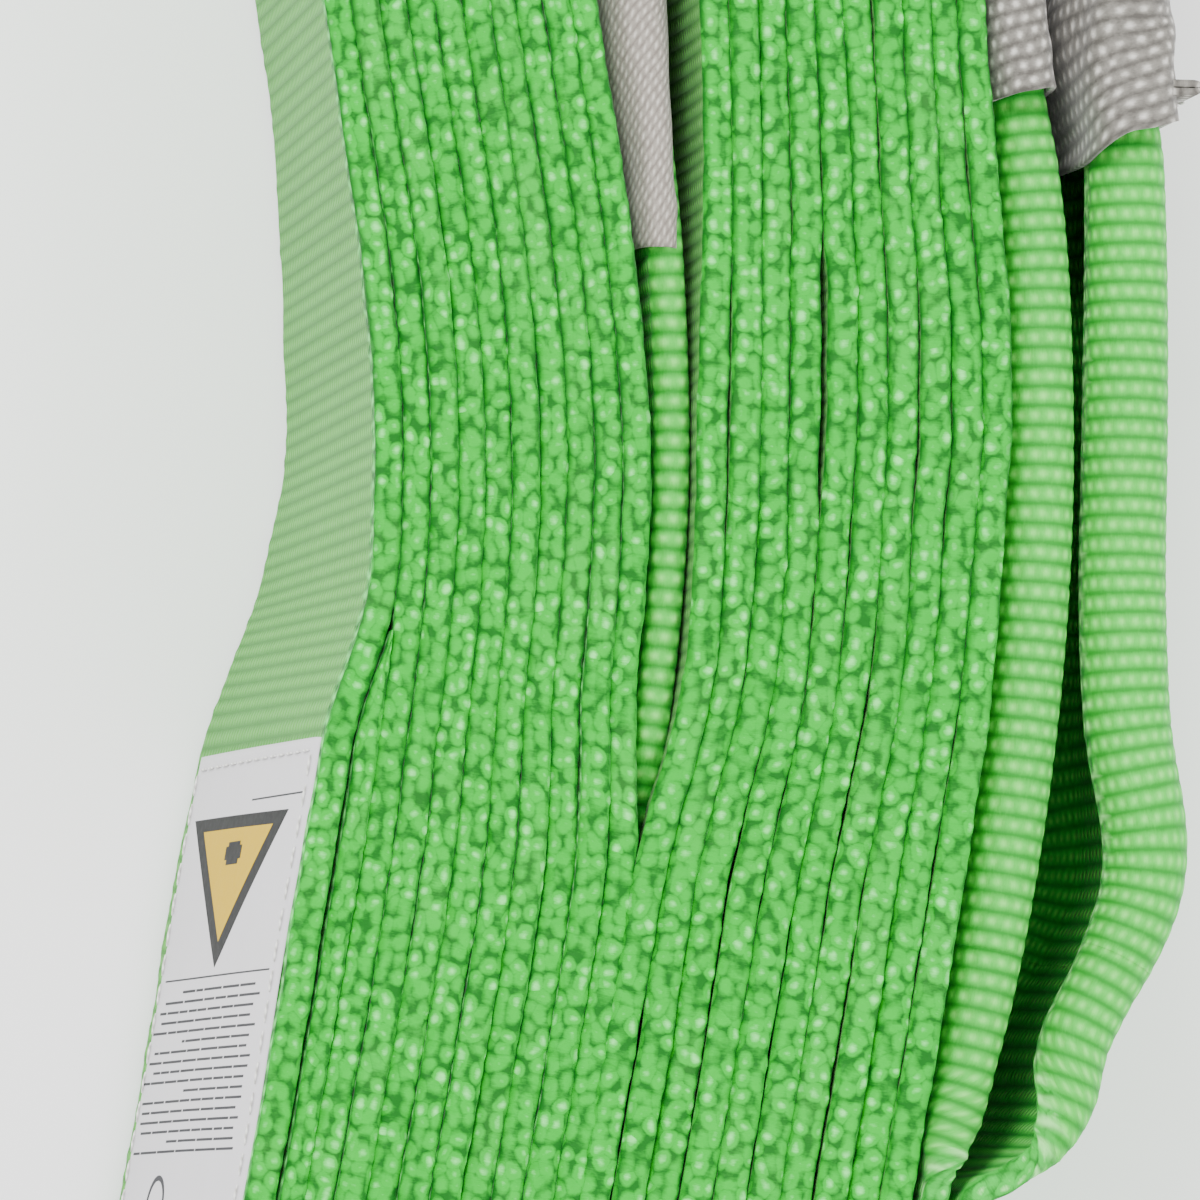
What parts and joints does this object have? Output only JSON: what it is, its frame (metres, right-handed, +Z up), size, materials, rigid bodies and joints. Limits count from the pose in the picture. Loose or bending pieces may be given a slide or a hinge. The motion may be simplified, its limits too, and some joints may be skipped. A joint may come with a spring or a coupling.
{
  "type": "flat web sling",
  "caption": "Two-ply flat webbing sling with a sleeved eye at each end, rolled up flat for storage, for lifting loads from a hook.",
  "frame": {"origin": "middle of the rolled sling's footprint, on the surface it stands on", "axes": "+Z up, across the webbing; +Y along the laps, from the end where the eyes begin to the end with their tips; +X across the stack, from the label to the outer eye"},
  "size_m": [0.125, 0.3548, 0.06],
  "materials": {
    "webbing": "coarse woven polyester, matt with bright edge loops",
    "eye_webbing": "coarse woven polyester, matt",
    "wear_sleeve": "grey woven tube, matt, wrinkled",
    "label": "smooth printed tape, satin",
    "green_thread": "twisted polyester thread",
    "white_thread": "twisted polyester thread"
  },
  "bodies": {
    "bundle": {"outer_ply": "webbing", "inner_ply": "webbing", "splice_end": "webbing", "inner_eye_webbing": "eye_webbing", "inner_eye_sleeve": "wear_sleeve", "inner_eye_seam": "green_thread", "label": "label", "label_stitching": "white_thread"},
    "tail": {"tail_outer_ply": "webbing", "tail_inner_ply": "webbing", "outer_eye_seam": "green_thread"},
    "outer_eye": {"outer_eye_webbing": "eye_webbing", "outer_eye_sleeve": "wear_sleeve", "sleeve_hem_stitching": "white_thread", "sleeve_hem_tab": "wear_sleeve"}
  },
  "joints": [
    {"name": "tail_unwrap", "type": "hinge", "parent": "bundle", "child": "tail", "pos_m": [-0.05865, -0.13325, 0.03], "axis": [0, 0, -1], "range_deg": [0, 85]},
    {"name": "outer_eye_swing", "type": "hinge", "parent": "tail", "child": "outer_eye", "pos_m": [0.02969, -0.08425, 0.03], "axis": [0, 0, -1], "range_deg": [0, 50]}
  ]
}
